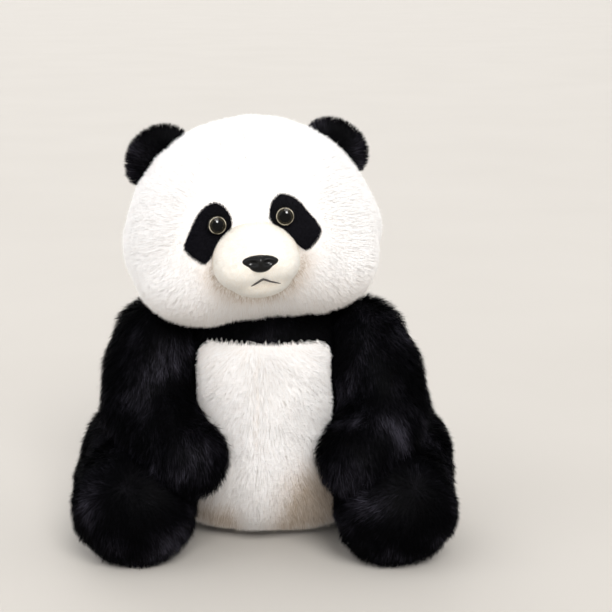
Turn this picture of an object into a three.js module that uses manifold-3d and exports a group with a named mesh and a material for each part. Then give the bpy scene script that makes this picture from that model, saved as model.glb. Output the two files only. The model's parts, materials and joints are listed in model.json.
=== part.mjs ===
// Sitting plush panda. Millimetres, +Z up, the panda faces -Y and its own left side is +X.
// The origin is on the ground, under the middle of the whole outline.
// Every solid is the fabric or the filling at the root of the pile, so the fur stands outside it.
import * as THREE from 'three';
import { ConvexGeometry } from 'three/addons/geometries/ConvexGeometry.js';
import { mergeVertices } from 'three/addons/utils/BufferGeometryUtils.js';
import Module from 'manifold-3d';

const wasm = await Module();
wasm.setup();

// Fabric and gaps
const FABRIC = 3;                 // thickness of plush fabric with the root of its pile
const GAP = 0.3;                  // between two pieces that are sewn or pressed together
const CLEARANCE = 2.6;            // between two pieces that move past each other
const THREAD_RADIUS = 0.8;
const BIG = 600;                  // larger than the toy, for cutting blocks

// Head, in its own frame: the middle of the head is the origin
const HEAD_CENTRE = [-13, 14, 261];
const HEAD_ROLL = -7;             // degrees about Y, the crown leans to the panda's right
const HEAD_YAW = 5.5;             // degrees about Z, the face looks to the panda's left
const SKULL = { centre: [0, 0, 7], radii: [89, 82, 73] };
const CHEEKS = { centre: [0, -3, -15], radii: [97, 80, 63] };
const CROWN_HALF_WIDTH = 24;
const CROWN_LOWER_EDGE = 24;
const FACE_BACK_SEAM_Y = 12;
const FACE_X = -2.3;              // the eyes, patches and muzzle are centred on this
const MUZZLE = { centre: [FACE_X, -78, -14], radii: [32.5, 30, 27.5] };
const MOUTH_HEIGHT = -26;
const MOUTH = [[-9, -30.2], [-5.5, -29], [-2, -27.2], [1, -25.9], [4.5, -27.4], [8.5, -29.8], [12.5, -31.2]];
const EYE = {
  at: [26.4, 14.5], radius: 7.3, domeDepth: 4, baseDepth: 3, shankLength: 15, washerBehind: 9, sink: 1,
};
const PATCH = { at: [32.8, 8.3], radii: [14, 23.5], slant: 25, thickness: 2 };
const EARS = { left: [75.5, 8, 47.5], right: [-68, 8, 59.5] };
const EAR = { radii: [25, 8, 23], lean: 38, seam: 4 };
const NOSE = {
  at: [0.5, -14], halfWidth: 9, lobe: 4.6, lobeRise: 2, tip: 3, drop: 4, depth: 5,
  shankLength: 16, washerBehind: 8,
};
const SHANK_RADIUS = 2;
const WASHER = { radius: 7, thickness: 2, room: 3 };

// Neck
const NECK = { axis: [0, 20], pivotHeight: 198, ball: 30, stem: 24, foot: 146 };
const HEAD_TURN = 25;             // degrees each way about the neck
const HEAD_NOD = [-8, 10];        // degrees, back and forward
const HEAD_ROOM = 4.5;            // left free around the head in all its poses

// Torso: half width at each height, the depth follows from TORSO_DEPTH
const TORSO_CENTRE = [0, 24];
const TORSO_DEPTH = 0.83;         // depth over width
const TORSO_PROFILE = [
  [62, 0], [77, 8], [84, 28], [87, 60], [85, 95], [79, 130], [68, 163], [52, 188], [28, 202],
];
const SEAT_EDGE = 10;
const YOKE_FRONT_EDGE = 170;
const YOKE_BACK_EDGE = 148;
const BELLY_SEAM_X = -6;
const PELLET_BAG = { centre: [0, 30, 27], radii: [46, 40, 19] };
const TAIL = { centre: [0, 93, 36], radii: [16, 11, 14], seam: 4 };
const CLOSING_SEAM = { low: 62, high: 116, stitches: 6, halfWidth: 2 };

// Limbs, as mirrored pairs; the panda sits askew, and shift moves both of a pair to its left
const ARM = {
  shoulder: { centre: [82, 4, 160], radii: [36, 37, 37], shift: -6 },
  elbow: { centre: [98, -26, 115], radii: [33, 32, 33], shift: -2 },
  paw: { centre: [67, -66, 86], radii: [28, 27, 28], shift: 6 },
  legRoom: 1.5,
  raise: 40,
};
const LEG = {
  thigh: { centre: [106.3, 18, 56], radii: [46.7, 46, 54] },
  foot: { centre: [105.5, -70, 43], radii: [45.5, 34, 43] },
  pivot: [82, 46, 50],
  splay: 20,
  soleEdge: -86,
};

// Materials
const fur = (color) => new THREE.MeshStandardMaterial({ color, roughness: 0.95, metalness: 0 });
const whiteFur = fur('#f3efec');
const blackFur = fur('#17161b');
const creamPile = fur('#ece4d8');
const blackPile = fur('#121114');
const filling = fur('#f6f6f2');
const pelletCloth = fur('#cfcac2');
const darkThread = fur('#2a2422');
const whiteThread = fur('#e8e4de');
const nosePlastic = new THREE.MeshStandardMaterial({ color: '#0b0b0c', roughness: 0.12, metalness: 0 });
const eyeDomePlastic = new THREE.MeshStandardMaterial({ color: '#1a1512', roughness: 0.05, metalness: 0 });
const irisPlastic = new THREE.MeshStandardMaterial({ color: '#4a3b26', roughness: 0.25, metalness: 0 });
const washerPlastic = new THREE.MeshStandardMaterial({ color: '#e9e9e6', roughness: 0.4, metalness: 0 });

// Geometry to solid and back

function solidOf(geometry) {
  const bare = new THREE.BufferGeometry();
  bare.setAttribute('position', geometry.getAttribute('position'));
  bare.setIndex(geometry.getIndex());
  const merged = mergeVertices(bare, 1e-4);
  const index = merged.getIndex().array;
  const triangles = [];
  for (let i = 0; i < index.length; i += 3) {
    const [a, b, c] = index.slice(i, i + 3);
    if (a !== b && b !== c && c !== a) triangles.push(a, b, c);
  }
  const mesh = new wasm.Mesh({
    numProp: 3,
    vertProperties: new Float32Array(merged.getAttribute('position').array),
    triVerts: new Uint32Array(triangles),
  });
  return new wasm.Manifold(mesh);
}

function geometryOf(solid) {
  const { vertProperties, triVerts } = solid.getMesh();
  const geometry = new THREE.BufferGeometry();
  geometry.setAttribute('position', new THREE.BufferAttribute(new Float32Array(vertProperties), 3));
  geometry.setIndex(new THREE.BufferAttribute(new Uint32Array(triVerts), 1));
  geometry.computeVertexNormals();
  return geometry;
}

function addPiece(parent, name, solid, material) {
  const mesh = new THREE.Mesh(geometryOf(solid), material);
  mesh.name = name;
  parent.add(mesh);
}

// Simple shapes

function ellipsoid({ centre, radii }, offset = 0, around = 14, rings = 8) {
  const [rx, ry, rz] = radii.map((radius) => radius + offset);
  const ball = new THREE.SphereGeometry(1, around, rings).rotateX(Math.PI / 2);
  return ball.scale(rx, ry, rz).translate(...centre);
}

function hullOf(geometries) {
  const points = [];
  for (const geometry of geometries) {
    const bare = new THREE.BufferGeometry().setAttribute('position', geometry.getAttribute('position'));
    const position = mergeVertices(bare, 1e-4).getAttribute('position');
    for (let i = 0; i < position.count; i += 1) {
      points.push(new THREE.Vector3().fromBufferAttribute(position, i));
    }
  }
  return new ConvexGeometry(points);
}

function rodAlongY(x, z, yFront, yBack, radius, sides = 12) {
  const rod = new THREE.CylinderGeometry(radius, radius, yBack - yFront, sides);
  return rod.translate(0, (yFront + yBack) / 2, 0).translate(x, 0, z);
}

function block([x0, y0, z0], [x1, y1, z1]) {
  const box = new THREE.BoxGeometry(x1 - x0, y1 - y0, z1 - z0);
  return solidOf(box.translate((x0 + x1) / 2, (y0 + y1) / 2, (z0 + z1) / 2));
}

function beyond(point, normal, start = GAP / 2) {
  const half = new THREE.BoxGeometry(BIG, BIG, BIG).translate(BIG / 2 + start, 0, 0);
  const turn = new THREE.Quaternion().setFromUnitVectors(
    new THREE.Vector3(1, 0, 0),
    new THREE.Vector3(...normal).normalize(),
  );
  return solidOf(half.applyQuaternion(turn).translate(...point));
}

function split(solid, point, normal) {
  const opposite = normal.map((value) => -value);
  return [
    solid.intersect(beyond(point, normal)),
    solid.intersect(beyond(point, opposite)),
  ];
}

function turned(geometry, pivot, axis, degrees) {
  const [x, y, z] = pivot;
  const turn = new THREE.Matrix4().makeRotationAxis(axis, THREE.MathUtils.degToRad(degrees));
  return geometry.clone().translate(-x, -y, -z).applyMatrix4(turn).translate(x, y, z);
}

function threadAlong(points, radius = THREAD_RADIUS, steps = 12) {
  const circle = new THREE.Shape().absarc(0, 0, radius, 0, Math.PI * 2);
  const path = new THREE.CatmullRomCurve3(points.map((point) => new THREE.Vector3(...point)));
  const options = { steps, curveSegments: 5, extrudePath: path, bevelEnabled: false };
  return new THREE.ExtrudeGeometry(circle, options);
}

// Bodies of the toy as closed solids; offset grows or shrinks them

const headGeometry = (offset) => hullOf([SKULL, CHEEKS].map((shape) => ellipsoid(shape, offset, 18, 10)));
const headSolid = (offset) => solidOf(headGeometry(offset));
const muzzleSolid = (offset) => solidOf(ellipsoid(MUZZLE, offset));

function torsoGeometry(offset) {
  const points = TORSO_PROFILE.map(([radius, height], i) => {
    const before = TORSO_PROFILE[Math.max(i - 1, 0)];
    const after = TORSO_PROFILE[Math.min(i + 1, TORSO_PROFILE.length - 1)];
    const along = new THREE.Vector2(after[0] - before[0], after[1] - before[1]).normalize();
    return new THREE.Vector2(radius + along.y * offset, height - along.x * offset);
  });
  const last = points[points.length - 1];
  points[0].y = -offset;
  const profile = [new THREE.Vector2(0, -offset), ...points, new THREE.Vector2(0, last.y + 4)];
  const lathe = new THREE.LatheGeometry(profile, 16).rotateX(Math.PI / 2);
  return lathe.scale(1, TORSO_DEPTH, 1).translate(...TORSO_CENTRE, 0);
}

function limbGeometry(sections, side, offset) {
  const balls = sections.map(({ centre: [x, y, z], radii, shift = 0 }) => (
    ellipsoid({ centre: [side * x + shift, y, z], radii }, offset, 12, 8)
  ));
  return hullOf(balls);
}

const armGeometry = (side, offset) => limbGeometry([ARM.shoulder, ARM.elbow, ARM.paw], side, offset);
const legGeometry = (side, offset) => limbGeometry([LEG.thigh, LEG.foot], side, offset);

// Takes away every place that an obstacle reaches as the limb turns about its joint
function clearWhileTurning(solid, obstacle, pivot, axis, range) {
  const angles = range === 0 ? [0] : [0, -range / 2, -range];
  return angles.reduce((left, angle) => left.subtract(solidOf(turned(obstacle, pivot, axis, angle))), solid);
}

const panda = new THREE.Group();

// Head

const head = new THREE.Group();
head.position.set(...HEAD_CENTRE);
head.rotation.set(0, THREE.MathUtils.degToRad(HEAD_ROLL), THREE.MathUtils.degToRad(HEAD_YAW), 'ZYX');
head.updateMatrix();
panda.add(head);

const neckPivot = new THREE.Vector3(...NECK.axis, NECK.pivotHeight);
const neckPivotInHead = neckPivot.clone().applyMatrix4(head.matrix.clone().invert());
const neckBall = (offset) => {
  const radius = NECK.ball;
  return solidOf(ellipsoid({ centre: neckPivotInHead.toArray(), radii: [radius, radius, radius] }, offset));
};

// Where a line along Y meets the front of an ellipsoid
function frontOf({ centre, radii }, x, z, offset) {
  const [rx, ry, rz] = radii.map((radius) => radius + offset);
  const inside = 1 - ((x - centre[0]) / rx) ** 2 - ((z - centre[2]) / rz) ** 2;
  return centre[1] - ry * Math.sqrt(Math.max(inside, 0));
}

// The space that the head takes up in all its poses
function headReach(offset) {
  const poses = [];
  for (const turn of [-HEAD_TURN, 0, HEAD_TURN]) {
    for (const nod of HEAD_NOD) {
      const resting = hullOf([ellipsoid(SKULL, offset), ellipsoid(CHEEKS, offset)]).applyMatrix4(head.matrix);
      const nodded = turned(resting, neckPivot, new THREE.Vector3(1, 0, 0), nod);
      poses.push(turned(nodded, neckPivot, new THREE.Vector3(0, 0, 1), turn));
    }
  }
  return hullOf(poses);
}

const faceFront = (x, z, offset) => Math.min(frontOf(SKULL, x, z, offset), frontOf(CHEEKS, x, z, offset));

const headInside = headSolid(-FABRIC);
const muzzleInside = muzzleSolid(-FABRIC);

// Safety eyes and the nose hold the fabric between a shank in front and a lock washer inside

function rodFrom(x, z, front, length, radius, sides) {
  return solidOf(rodAlongY(x, z, front, front + length, radius, sides));
}

// A lock washer on its shank, and the room that it takes in the filling
function addWasher(name, x, z, front) {
  const disc = rodFrom(x, z, front, WASHER.thickness, WASHER.radius, 12);
  const bore = rodFrom(x, z, front - 1, WASHER.thickness + 2, SHANK_RADIUS + GAP, 8);
  addPiece(head, name, disc.subtract(bore), washerPlastic);
}

function buildEye(side, name) {
  const [x, z] = [FACE_X + side * EYE.at[0], EYE.at[1]];
  const seat = faceFront(x, z, PATCH.thickness + GAP) - EYE.sink;
  const baseFront = seat - EYE.baseDepth;
  const washerFront = seat + EYE.washerBehind;
  const base = rodFrom(x, z, baseFront, EYE.baseDepth, EYE.radius, 16);
  const shank = rodFrom(x, z, seat - 1, EYE.shankLength, SHANK_RADIUS, 8);
  const domeBack = baseFront - GAP;
  const radii = [EYE.radius, EYE.domeDepth, EYE.radius];
  const dome = solidOf(ellipsoid({ centre: [x, domeBack, z], radii }, 0, 12, 8));
  addPiece(head, `eye_dome_${name}`, dome.intersect(beyond([x, domeBack, z], [0, -1, 0], 0)), eyeDomePlastic);
  addPiece(head, `eye_iris_${name}`, base.add(shank), irisPlastic);
  addWasher(`eye_lock_washer_${name}`, x, z, washerFront);
  return {
    fabricHole: rodFrom(x, z, baseFront - WASHER.room, 20, EYE.radius + GAP, 16),
    fillingHole: rodFrom(x, z, washerFront - WASHER.room, 14, WASHER.radius + GAP, 12),
  };
}

function buildNose() {
  const [x, z] = NOSE.at;
  const front = frontOf(MUZZLE, x, z, 0);
  const lobe = (dx, dz, radius) => ellipsoid(
    { centre: [x + dx, front - 1, z + dz], radii: [radius, NOSE.depth, radius] }, 0, 10, 6,
  );
  const lobes = [-NOSE.halfWidth, NOSE.halfWidth].map((dx) => lobe(dx, NOSE.lobeRise, NOSE.lobe));
  const body = solidOf(hullOf([...lobes, lobe(0, -NOSE.drop, NOSE.tip)])).subtract(muzzleSolid(GAP));
  const shank = rodFrom(x, z, front - 2, NOSE.shankLength, SHANK_RADIUS, 8);
  const washerFront = front + NOSE.washerBehind;
  addPiece(head, 'nose', body.add(shank), nosePlastic);
  addWasher('nose_lock_washer', x, z, washerFront);
  return {
    fabricHole: rodFrom(x, z, front - 1, 9, SHANK_RADIUS + GAP, 8),
    fillingHole: rodFrom(x, z, washerFront - 2 * WASHER.room, 18, WASHER.radius + GAP, 12),
  };
}

function buildMuzzle(noseHole) {
  const cover = muzzleSolid(0).subtract(muzzleInside).subtract(headSolid(GAP)).subtract(noseHole);
  const [upper, lower] = split(cover, [0, 0, MOUTH_HEIGHT], [0, 0, 1]);
  addPiece(head, 'muzzle_panel', upper, creamPile);
  addPiece(head, 'chin_panel', lower, creamPile);
  const path = MOUTH.map(([x, z]) => [x, frontOf(MUZZLE, x, z, THREAD_RADIUS + 2 * GAP), z]);
  addPiece(head, 'mouth_stitch', solidOf(threadAlong(path)), darkThread);
}

function buildEyePatch(side, name, eyeHole) {
  const [x, z] = [FACE_X + side * PATCH.at[0], PATCH.at[1]];
  const [rx, rz] = PATCH.radii;
  const slant = THREE.MathUtils.degToRad(side * PATCH.slant);
  const outline = new THREE.CylinderGeometry(1, 1, BIG / 4, 18).scale(rx, 1, rz).rotateY(-slant);
  const region = solidOf(outline.translate(x, -BIG / 8, z));
  const layer = headSolid(PATCH.thickness + GAP).subtract(headSolid(GAP));
  const patch = layer.intersect(region).subtract(muzzleSolid(GAP)).subtract(eyeHole);
  addPiece(head, `eye_patch_${name}`, patch, blackPile);
}

function buildEar(side, name) {
  const ear = new THREE.Group();
  ear.position.set(...EARS[name]);
  ear.rotation.y = THREE.MathUtils.degToRad(side * EAR.lean);
  ear.updateMatrix();
  head.add(ear);
  const skull = headGeometry(EAR.seam).applyMatrix4(ear.matrix.clone().invert());
  const body = solidOf(ellipsoid({ centre: [0, 0, 0], radii: EAR.radii })).subtract(solidOf(skull));
  const [front, back] = split(body, [0, 0, 0], [0, -1, 0]);
  addPiece(ear, `ear_front_panel_${name}`, front, blackFur);
  addPiece(ear, `ear_back_panel_${name}`, back, blackFur);
}

function buildHead() {
  const nose = buildNose();
  buildMuzzle(nose.fabricHole);
  const fabricHoles = [];
  const fillingHoles = [nose.fillingHole];
  for (const [side, name] of [[1, 'left'], [-1, 'right']]) {
    const eye = buildEye(side, name);
    buildEyePatch(side, name, eye.fabricHole);
    buildEar(side, name);
    fabricHoles.push(eye.fabricHole);
    fillingHoles.push(eye.fillingHole);
  }
  const crownBlock = (grow) => block(
    [-CROWN_HALF_WIDTH - grow, -BIG / 2, CROWN_LOWER_EDGE - grow],
    [CROWN_HALF_WIDTH + grow, BIG / 2, BIG / 2],
  );
  const socket = neckBall(CLEARANCE);
  let cover = headSolid(0).subtract(headInside).subtract(socket).subtract(muzzleInside);
  cover = cover.subtract(muzzleSolid(GAP));
  for (const hole of fabricHoles) cover = cover.subtract(hole);
  addPiece(head, 'head_crown_panel', cover.intersect(crownBlock(0)), whiteFur);
  const sides = cover.subtract(crownBlock(GAP));
  for (const [side, name] of [[1, 'left'], [-1, 'right']]) {
    const half = sides.intersect(beyond([0, 0, 0], [side, 0, 0]));
    const [face, back] = split(half, [0, FACE_BACK_SEAM_Y, 0], [0, -1, 0]);
    addPiece(head, `face_panel_${name}`, face, whiteFur);
    addPiece(head, `head_back_panel_${name}`, back, whiteFur);
  }
  let stuffing = headSolid(-FABRIC - GAP).add(muzzleSolid(-FABRIC - GAP)).subtract(socket);
  for (const hole of fillingHoles) stuffing = stuffing.subtract(hole);
  addPiece(head, 'head_stuffing', stuffing, filling);
}

// Neck: a plug of filling with a round end that the head turns and nods on

function neckPlug(offset, top) {
  const [x, y] = NECK.axis;
  const height = top - NECK.foot + offset;
  const radius = NECK.stem + offset;
  const stem = new THREE.CylinderGeometry(radius, radius, height, 16).rotateX(Math.PI / 2);
  return solidOf(stem.translate(x, y, NECK.foot - offset + height / 2));
}

function buildNeck() {
  const [x, y] = NECK.axis;
  const radius = NECK.ball;
  const ball = ellipsoid({ centre: [x, y, NECK.pivotHeight], radii: [radius, radius, radius] });
  const plug = neckPlug(0, NECK.pivotHeight).add(solidOf(ball));
  const seamHeight = NECK.foot + 12;
  const ring = new THREE.TorusGeometry(NECK.stem + THREAD_RADIUS + GAP, THREAD_RADIUS, 4, 16);
  const thread = solidOf(ring.translate(x, y, seamHeight));
  addPiece(panda, 'neck_stuffing', plug, filling);
  addPiece(panda, 'neck_seam_thread', thread, whiteThread);
}

// Torso

function buildTorso() {
  const headRoom = solidOf(headReach(HEAD_ROOM));
  const ballRadius = NECK.ball + CLEARANCE;
  const ballRoom = ellipsoid({ centre: neckPivot.toArray(), radii: [ballRadius, ballRadius, ballRadius] });
  const neckRoom = neckPlug(2 * THREAD_RADIUS + CLEARANCE, NECK.pivotHeight).add(solidOf(ballRoom));
  const inside = solidOf(torsoGeometry(-FABRIC));
  const headRoomInside = solidOf(headReach(HEAD_ROOM + FABRIC));
  const cavity = inside.subtract(headRoomInside);
  const cover = solidOf(torsoGeometry(0)).subtract(headRoom).subtract(cavity).subtract(neckRoom);
  const [body, seat] = split(cover, [0, 0, SEAT_EDGE], [0, 0, 1]);
  addPiece(panda, 'seat_panel', seat, whiteFur);
  const [front, back] = split(body, [0, TORSO_CENTRE[1], 0], [0, -1, 0]);
  const [yoke, belly] = split(front, [0, 0, YOKE_FRONT_EDGE], [0, 0, 1]);
  addPiece(panda, 'chest_yoke', yoke, blackFur);
  const [bellyLeft, bellyRight] = split(belly, [BELLY_SEAM_X, 0, 0], [1, 0, 0]);
  addPiece(panda, 'belly_panel_left', bellyLeft, whiteFur);
  addPiece(panda, 'belly_panel_right', bellyRight, whiteFur);
  const [backYoke, lowerBack] = split(back, [0, 0, YOKE_BACK_EDGE], [0, 0, 1]);
  const backs = [[backYoke, 'back_yoke', blackFur], [lowerBack, 'back_panel', whiteFur]];
  for (const [piece, name, material] of backs) {
    const [left, right] = split(piece, [0, 0, 0], [1, 0, 0]);
    addPiece(panda, `${name}_left`, left, material);
    addPiece(panda, `${name}_right`, right, material);
  }
  const bag = ellipsoid(PELLET_BAG);
  const bagRoom = ellipsoid(PELLET_BAG, GAP);
  const stuffed = solidOf(torsoGeometry(-FABRIC - GAP));
  const stuffingHeadRoom = solidOf(headReach(HEAD_ROOM + FABRIC + GAP));
  const bagSlot = rodAlongY(0, PELLET_BAG.centre[2], TORSO_CENTRE[1], BIG / 2, 3);
  addPiece(panda, 'pellet_bag', solidOf(bag), pelletCloth);
  let stuffing = stuffed.subtract(stuffingHeadRoom).subtract(neckRoom);
  stuffing = stuffing.subtract(solidOf(bagRoom)).subtract(solidOf(bagSlot));
  addPiece(panda, 'torso_stuffing', stuffing, filling);
}

function buildClosingSeam() {
  const { low, high, stitches, halfWidth } = CLOSING_SEAM;
  const points = [];
  for (let i = 0; i <= stitches; i += 1) {
    const height = low + ((high - low) * i) / stitches;
    points.push([i % 2 === 0 ? halfWidth : -halfWidth, backAt(height) + THREAD_RADIUS + GAP, height]);
  }
  addPiece(panda, 'closing_seam_stitches', solidOf(threadAlong(points)), whiteThread);
}

// Where the middle of the torso's back is at a height
function backAt(height) {
  const i = TORSO_PROFILE.findIndex(([, z]) => z >= height);
  const [[r0, z0], [r1, z1]] = [TORSO_PROFILE[i - 1], TORSO_PROFILE[i]];
  const radius = r0 + ((r1 - r0) * (height - z0)) / (z1 - z0);
  return TORSO_CENTRE[1] + radius * TORSO_DEPTH;
}

function buildTail() {
  const torso = solidOf(torsoGeometry(TAIL.seam));
  const outer = solidOf(ellipsoid(TAIL, 0, 12));
  const inner = solidOf(ellipsoid(TAIL, -FABRIC, 12));
  const core = solidOf(ellipsoid(TAIL, -FABRIC - GAP, 12));
  addPiece(panda, 'tail_cover', outer.subtract(inner).subtract(torso), whiteFur);
  addPiece(panda, 'tail_stuffing', core.subtract(torso), filling);
}

// Limbs

function mirrored([x, y, z], side) {
  return [side * x, y, z];
}

// A hollow cover and the filling in it, both cut clear of the obstacles
function buildLimb(side, geometryFor, obstacles) {
  const layers = [0, -FABRIC, -FABRIC - GAP].map((offset) => {
    let layer = solidOf(geometryFor(side, offset));
    for (const obstacle of obstacles(CLEARANCE - offset)) {
      layer = clearWhileTurning(layer, obstacle.geometry, obstacle.pivot, obstacle.axis, obstacle.range);
    }
    return layer;
  });
  const [outer, inner, core] = layers;
  return { cover: outer.subtract(inner), core };
}

function buildArm(side, name) {
  const [x, y, z] = mirrored(ARM.shoulder.centre, side);
  const pivot = [x + ARM.shoulder.shift, y, z];
  const axis = new THREE.Vector3(-1, 0, 0);
  const turning = { pivot, axis, range: ARM.raise };
  const obstacles = (offset) => [
    { geometry: torsoGeometry(offset), ...turning },
    { geometry: headReach(offset + HEAD_ROOM - CLEARANCE), ...turning },
    { geometry: legGeometry(side, offset + ARM.legRoom), pivot, axis, range: 0 },
  ];
  const { cover, core } = buildLimb(side, armGeometry, obstacles);
  const shoulder = new THREE.Vector3(...ARM.shoulder.centre);
  const along = new THREE.Vector3(...ARM.paw.centre).sub(shoulder).normalize();
  const outward = new THREE.Vector3(1, 0, 0).addScaledVector(along, -along.x).normalize();
  const seamPoint = mirrored(ARM.elbow.centre, side);
  const [outer, inner] = split(cover, seamPoint, [side * outward.x, outward.y, outward.z]);
  addPiece(panda, `arm_outer_panel_${name}`, outer, blackFur);
  addPiece(panda, `arm_inner_panel_${name}`, inner, blackFur);
  addPiece(panda, `arm_stuffing_${name}`, core, filling);
}

function buildLeg(side, name) {
  const pivot = mirrored(LEG.pivot, side);
  const axis = new THREE.Vector3(0, 0, side);
  const obstacles = (offset) => [{ geometry: torsoGeometry(offset), pivot, axis, range: LEG.splay }];
  const { cover, core } = buildLimb(side, legGeometry, obstacles);
  const [sole, upper] = split(cover, [0, LEG.soleEdge, 0], [0, -1, 0]);
  const [outer, inner] = split(upper, mirrored(LEG.thigh.centre, side), [side, 0, 0]);
  addPiece(panda, `foot_sole_panel_${name}`, sole, blackFur);
  addPiece(panda, `leg_outer_panel_${name}`, outer, blackFur);
  addPiece(panda, `leg_inner_panel_${name}`, inner, blackFur);
  addPiece(panda, `leg_stuffing_${name}`, core, filling);
}

buildHead();
buildNeck();
buildTorso();
buildClosingSeam();
buildTail();
for (const [side, name] of [[1, 'left'], [-1, 'right']]) {
  buildArm(side, name);
  buildLeg(side, name);
}

export default panda;
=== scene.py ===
import json
import math

import bmesh
import bpy
import numpy as np
from mathutils import Euler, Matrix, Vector, kdtree

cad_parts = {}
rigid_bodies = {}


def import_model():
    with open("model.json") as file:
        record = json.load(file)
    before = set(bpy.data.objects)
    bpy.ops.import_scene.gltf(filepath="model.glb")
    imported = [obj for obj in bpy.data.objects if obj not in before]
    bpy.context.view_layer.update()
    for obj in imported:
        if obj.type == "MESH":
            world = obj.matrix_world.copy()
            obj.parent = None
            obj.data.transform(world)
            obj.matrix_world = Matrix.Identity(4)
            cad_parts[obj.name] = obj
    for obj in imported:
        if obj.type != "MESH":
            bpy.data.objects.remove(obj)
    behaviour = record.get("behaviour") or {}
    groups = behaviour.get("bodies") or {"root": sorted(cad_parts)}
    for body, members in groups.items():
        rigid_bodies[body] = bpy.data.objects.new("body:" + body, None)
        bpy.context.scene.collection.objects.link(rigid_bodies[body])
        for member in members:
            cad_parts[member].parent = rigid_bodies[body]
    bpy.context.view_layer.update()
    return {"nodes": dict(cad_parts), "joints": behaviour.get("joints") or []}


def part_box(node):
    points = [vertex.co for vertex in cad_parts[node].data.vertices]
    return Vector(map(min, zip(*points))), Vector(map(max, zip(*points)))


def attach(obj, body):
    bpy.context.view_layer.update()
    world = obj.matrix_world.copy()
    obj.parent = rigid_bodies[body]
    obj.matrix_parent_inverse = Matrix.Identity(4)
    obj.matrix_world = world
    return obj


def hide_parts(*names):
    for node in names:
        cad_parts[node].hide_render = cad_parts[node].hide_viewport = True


# A sitting plush panda: stuffed skins shaped from blended ellipsoids, with a pile of mesh strands
# on each panel. Shapes are worked out in millimetres and written to Blender in metres.
# The panda faces -Y. Left and right are its own: side is 1 on its left (+X) and -1 on its right.
for leftover in list(bpy.data.objects):
    bpy.data.objects.remove(leftover)
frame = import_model()

MM = 0.001

# ---------------------------------------------------------------- driving sizes, mm

# Places on the head are measured from its centre, along its own turned axes.
HEAD_CENTRE = (-13, 14, 261)
HEAD_ROLL = -7
HEAD_YAW = 5.5
# centre and radii of each ellipsoid
SKULL = ((0, 0, 7), (91, 82, 73))
CHEEKS = ((0.5, -3, -13.5), (100.5, 80, 61))
FACE_X = -2.3
MUZZLE = ((FACE_X, -78, -14), (32.5, 30, 27.5))
# x and z of the points that the mouth's stitch line runs through
MOUTH = [
    (-9.3, -30.2), (-6.8, -29.1), (-4.2, -27.8), (-1.6, -26.3), (0.3, -25.7), (2.4, -26.7),
    (5, -28.3), (9, -30), (12.5, -31.8),
]
CHIN_TOP = -29
NOSE_AT = (-0.4, -13)
NOSE_Y = -107.5
NOSE_TURN = 5
PATCH_MIDDLE = (33, 8)
PATCH_OUTLINE = [(15, 24), (25, 32), (37, 25.5), (53.5, -1), (49.5, -8.5), (38.5, -15), (14, 13)]
EYE_AT = (25.9, 15.2)
EYE_RADIUS = 7.3
EARS = {"left": (74.5, 8, 46.5), "right": (-65, 8, 58.5)}
EAR_RADII = (26, 8.5, 22)
EAR_LEAN = 38
BELLY_SEAM_X = -6
YOKE_FRONT_EDGE = 170
YOKE_BACK_EDGE = 148
SIDE_SEAM_Y = 24
SEAT_EDGE = 10
FLOOR_GAP = 1.5
# strands per square mm, and the length and width of a strand, on each kind of panel
PILE = {
    "head": (1.7, 10, 0.3), "muzzle": (5.0, 2.2, 0.3), "patch": (6.5, 3.4, 0.32), "ear": (2.6, 7.5, 0.32),
    "torso": (1.6, 12.5, 0.34), "arm": (1.3, 12.5, 0.36), "leg": (1.3, 11.5, 0.36), "tail": (1.6, 9.0, 0.34),
}
SIDES = (("left", 1), ("right", -1))

joint_at = {j["name"]: np.array(j["pos_m"]) / MM for j in frame["joints"]}

# ---------------------------------------------------------------- small vector tools


def unit(vectors):
    return vectors / np.maximum(np.linalg.norm(vectors, axis=-1, keepdims=True), 1e-9)


def dot(a, b):
    return np.sum(a * b, axis=-1, keepdims=True)


def ramp(value, low, high):
    """Rises smoothly from 0 at low to 1 at high."""
    t = np.clip((value - low) / (high - low), 0, 1)
    return t * t * (3 - 2 * t)


def wobble(points, size, seed):
    """Smooth three-way noise from -1 to 1 with features of about that size."""
    waves = np.random.default_rng(seed)
    total = np.zeros_like(points)
    for _ in range(6):
        direction = unit(waves.normal(size=3)) * (2 * math.pi / size) * waves.uniform(0.6, 1.5)
        phase = waves.uniform(0, 2 * math.pi, 3)
        total += np.sin((points @ direction)[:, None] + phase)
    return total / 3.2


# ---------------------------------------------------------------- solid shapes as distance functions, mm


def ellipsoid(points, centre, radii):
    """Roughly how far a point is outside an ellipsoid."""
    p = points - np.array(centre, float)
    r = np.array(radii, float)
    k0 = np.linalg.norm(p / r, axis=1)
    k1 = np.linalg.norm(p / (r * r), axis=1)
    return k0 * (k0 - 1) / np.maximum(k1, 1e-9)


def join(a, b, softness):
    """Two shapes as one, blended over about that width where they meet."""
    h = np.clip(0.5 + 0.5 * (b - a) / softness, 0, 1)
    return b * (1 - h) + a * h - softness * h * (1 - h)


def keep_off(a, b, softness):
    """Shape a with the space of shape b pressed out of it."""
    return -join(-a, b, softness)


def slope(distance, points):
    """Outward normals of a distance function."""
    step = 0.5
    parts = []
    for axis in range(3):
        shift = np.zeros(3)
        shift[axis] = step
        parts.append(distance(points + shift) - distance(points - shift))
    return unit(np.stack(parts, axis=1))


head_turn = np.array(Euler((0, math.radians(HEAD_ROLL), math.radians(HEAD_YAW)), "XYZ").to_matrix())
head_middle = np.array(HEAD_CENTRE, float)


def to_head(points):
    return (points - head_middle) @ head_turn


def from_head(points):
    return np.asarray(points, float) @ head_turn.T + head_middle


def skull_distance(points):
    p = to_head(points)
    ball = join(ellipsoid(p, *SKULL), ellipsoid(p, *CHEEKS), 12)
    for side in (1, -1):
        ball = join(ball, ellipsoid(p, (side * 48, -34, -34.5 - 1.5 * side), (42, 38, 33)), 14)
    return ball


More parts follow.
